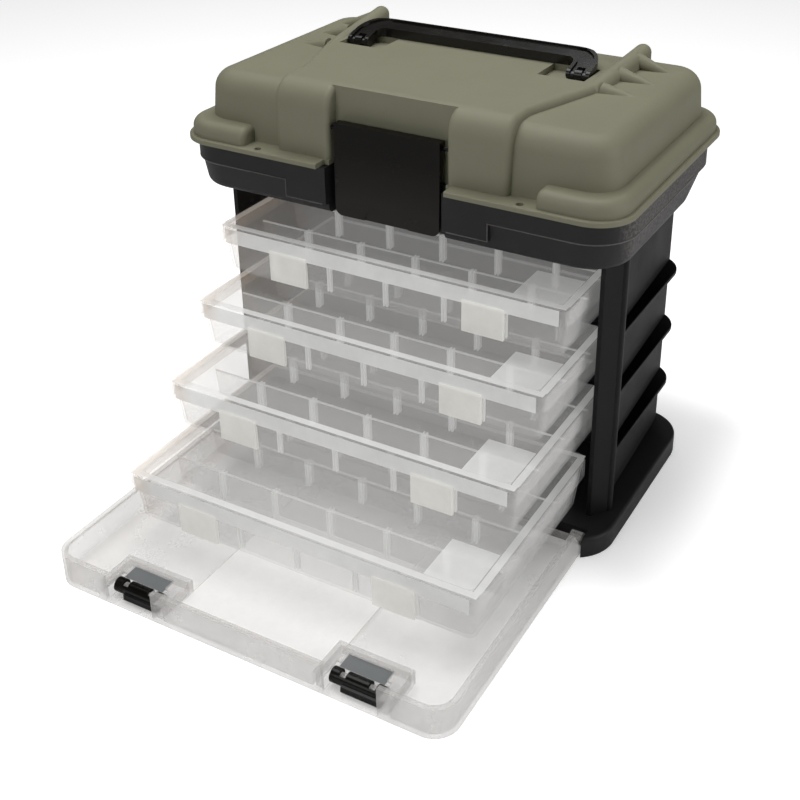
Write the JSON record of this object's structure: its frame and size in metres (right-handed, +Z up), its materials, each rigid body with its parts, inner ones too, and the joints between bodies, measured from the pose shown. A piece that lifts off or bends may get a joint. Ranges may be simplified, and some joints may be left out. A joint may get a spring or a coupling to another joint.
{
  "type": "fishing tackle cabinet",
  "caption": "Tackle cabinet: an open tower of slide-out utility boxes under a lidded top tray, with a drop-down clear front door, snap latches and a folding carry handle.",
  "frame": {"origin": "centre of the base's underside, on the surface that the cabinet stands on", "axes": "+Z up, +Y to the back, +X to the right as seen from the front"},
  "size_m": [0.437, 0.5274, 0.4103],
  "materials": {
    "black_plastic": "fine moulded texture",
    "black_gloss": "smooth moulded",
    "olive_plastic": "fine moulded texture",
    "frosted_box": "frosted translucent plastic",
    "latch_plastic": "natural translucent plastic",
    "clear_door": "clear moulded plastic, lightly textured inside",
    "steel": "plain"
  },
  "bodies": {
    "cabinet": {"base": "black_plastic", "base_screws": "steel", "front_frame": "black_plastic", "right_side_panel": "black_plastic", "left_side_panel": "black_plastic", "right_runners": "black_gloss", "left_runners": "black_gloss", "back_panel": "black_plastic", "tray": "black_plastic", "tray_screws": "steel", "door_hinge_pins": "steel", "lid_hinge_pins": "steel"},
    "lid": {"lid_shell": "olive_plastic", "handle_brackets": "black_plastic", "latch_pin": "steel"},
    "handle": {"handle": "black_plastic"},
    "main_latch": {"latch_plate": "black_gloss"},
    "door": {"door_panel": "clear_door", "door_latch_pins": "steel"},
    "door_latch_left": {"door_latch_left": "black_gloss"},
    "door_latch_right": {"door_latch_right": "black_gloss"},
    "box_a": {"box_a_body": "frosted_box", "box_a_hinge_pins": "steel"},
    "box_a_lid": {"box_a_lid": "frosted_box"},
    "box_a_latch_left": {"box_a_latch_left": "latch_plastic"},
    "box_a_latch_right": {"box_a_latch_right": "latch_plastic"},
    "box_b": {"box_b_body": "frosted_box", "box_b_hinge_pins": "steel"},
    "box_b_lid": {"box_b_lid": "frosted_box"},
    "box_b_latch_left": {"box_b_latch_left": "latch_plastic"},
    "box_b_latch_right": {"box_b_latch_right": "latch_plastic"},
    "box_c": {"box_c_body": "frosted_box", "box_c_hinge_pins": "steel"},
    "box_c_lid": {"box_c_lid": "frosted_box"},
    "box_c_latch_left": {"box_c_latch_left": "latch_plastic"},
    "box_c_latch_right": {"box_c_latch_right": "latch_plastic"},
    "box_d": {"box_d_body": "frosted_box", "box_d_hinge_pins": "steel"},
    "box_d_lid": {"box_d_lid": "frosted_box"},
    "box_d_latch_left": {"box_d_latch_left": "latch_plastic"},
    "box_d_latch_right": {"box_d_latch_right": "latch_plastic"}
  },
  "joints": [
    {"name": "lid_hinge", "type": "hinge", "parent": "cabinet", "child": "lid", "pos_m": [0, 0.163, 0.3282], "axis": [-1, 0, 0], "range_deg": [0, 95]},
    {"name": "main_latch_hinge", "type": "hinge", "parent": "lid", "child": "main_latch", "pos_m": [0, -0.1018, 0.3618], "axis": [-1, 0, 0], "range_deg": [0, 100]},
    {"name": "handle_hinge", "type": "hinge", "parent": "lid", "child": "handle", "pos_m": [0, 0.034, 0.3966], "axis": [1, 0, 0], "range_deg": [0, 100]},
    {"name": "door_hinge", "type": "hinge", "parent": "cabinet", "child": "door", "pos_m": [0, -0.104, 0.014], "axis": [-1, 0, 0], "range_deg": [0, 4.5]},
    {"name": "door_latch_left_hinge", "type": "hinge", "parent": "door", "child": "door_latch_left", "pos_m": [-0.11, -0.3439, 0.0095], "axis": [-1, 0, 0], "range_deg": [0, 90]},
    {"name": "door_latch_right_hinge", "type": "hinge", "parent": "door", "child": "door_latch_right", "pos_m": [0.11, -0.3439, 0.0095], "axis": [-1, 0, 0], "range_deg": [0, 90]},
    {"name": "box_a_slide", "type": "slide", "parent": "cabinet", "child": "box_a", "axis": [0, -1, 0], "range_m": [-0.006, 0.16]},
    {"name": "box_a_lid_hinge", "type": "hinge", "parent": "box_a", "child": "box_a_lid", "pos_m": [0, 0.1036, 0.2308], "axis": [-1, 0, 0], "range_deg": [0, 8]},
    {"name": "box_a_latch_left_hinge", "type": "hinge", "parent": "box_a_lid", "child": "box_a_latch_left", "pos_m": [-0.1, -0.1197, 0.2358], "axis": [-1, 0, 0], "range_deg": [0, 80]},
    {"name": "box_a_latch_right_hinge", "type": "hinge", "parent": "box_a_lid", "child": "box_a_latch_right", "pos_m": [0.1, -0.1197, 0.2358], "axis": [-1, 0, 0], "range_deg": [0, 80]},
    {"name": "box_b_slide", "type": "slide", "parent": "cabinet", "child": "box_b", "axis": [0, -1, 0], "range_m": [-0.046, 0.12]},
    {"name": "box_b_lid_hinge", "type": "hinge", "parent": "box_b", "child": "box_b_lid", "pos_m": [0, 0.0637, 0.1698], "axis": [-1, 0, 0], "range_deg": [0, 3]},
    {"name": "box_b_latch_left_hinge", "type": "hinge", "parent": "box_b_lid", "child": "box_b_latch_left", "pos_m": [-0.1, -0.1596, 0.1748], "axis": [-1, 0, 0], "range_deg": [0, 80]},
    {"name": "box_b_latch_right_hinge", "type": "hinge", "parent": "box_b_lid", "child": "box_b_latch_right", "pos_m": [0.1, -0.1596, 0.1748], "axis": [-1, 0, 0], "range_deg": [0, 80]},
    {"name": "box_c_slide", "type": "slide", "parent": "cabinet", "child": "box_c", "axis": [0, -1, 0], "range_m": [-0.096, 0.06]},
    {"name": "box_c_lid_hinge", "type": "hinge", "parent": "box_c", "child": "box_c_lid", "pos_m": [0, 0.014, 0.1088], "axis": [-1, 0, 0], "range_deg": [0, 3]},
    {"name": "box_c_latch_left_hinge", "type": "hinge", "parent": "box_c_lid", "child": "box_c_latch_left", "pos_m": [-0.1, -0.2093, 0.1138], "axis": [-1, 0, 0], "range_deg": [0, 80]},
    {"name": "box_c_latch_right_hinge", "type": "hinge", "parent": "box_c_lid", "child": "box_c_latch_right", "pos_m": [0.1, -0.2093, 0.1138], "axis": [-1, 0, 0], "range_deg": [0, 80]},
    {"name": "box_d_slide", "type": "slide", "parent": "cabinet", "child": "box_d", "axis": [0, -1, 0], "range_m": [-0.16, 0]},
    {"name": "box_d_lid_hinge", "type": "hinge", "parent": "box_d", "child": "box_d_lid", "pos_m": [0, -0.0508, 0.0478], "axis": [-1, 0, 0], "range_deg": [0, 3]},
    {"name": "box_d_latch_left_hinge", "type": "hinge", "parent": "box_d_lid", "child": "box_d_latch_left", "pos_m": [-0.1, -0.2741, 0.0528], "axis": [-1, 0, 0], "range_deg": [0, 80]},
    {"name": "box_d_latch_right_hinge", "type": "hinge", "parent": "box_d_lid", "child": "box_d_latch_right", "pos_m": [0.1, -0.2741, 0.0528], "axis": [-1, 0, 0], "range_deg": [0, 80]}
  ]
}
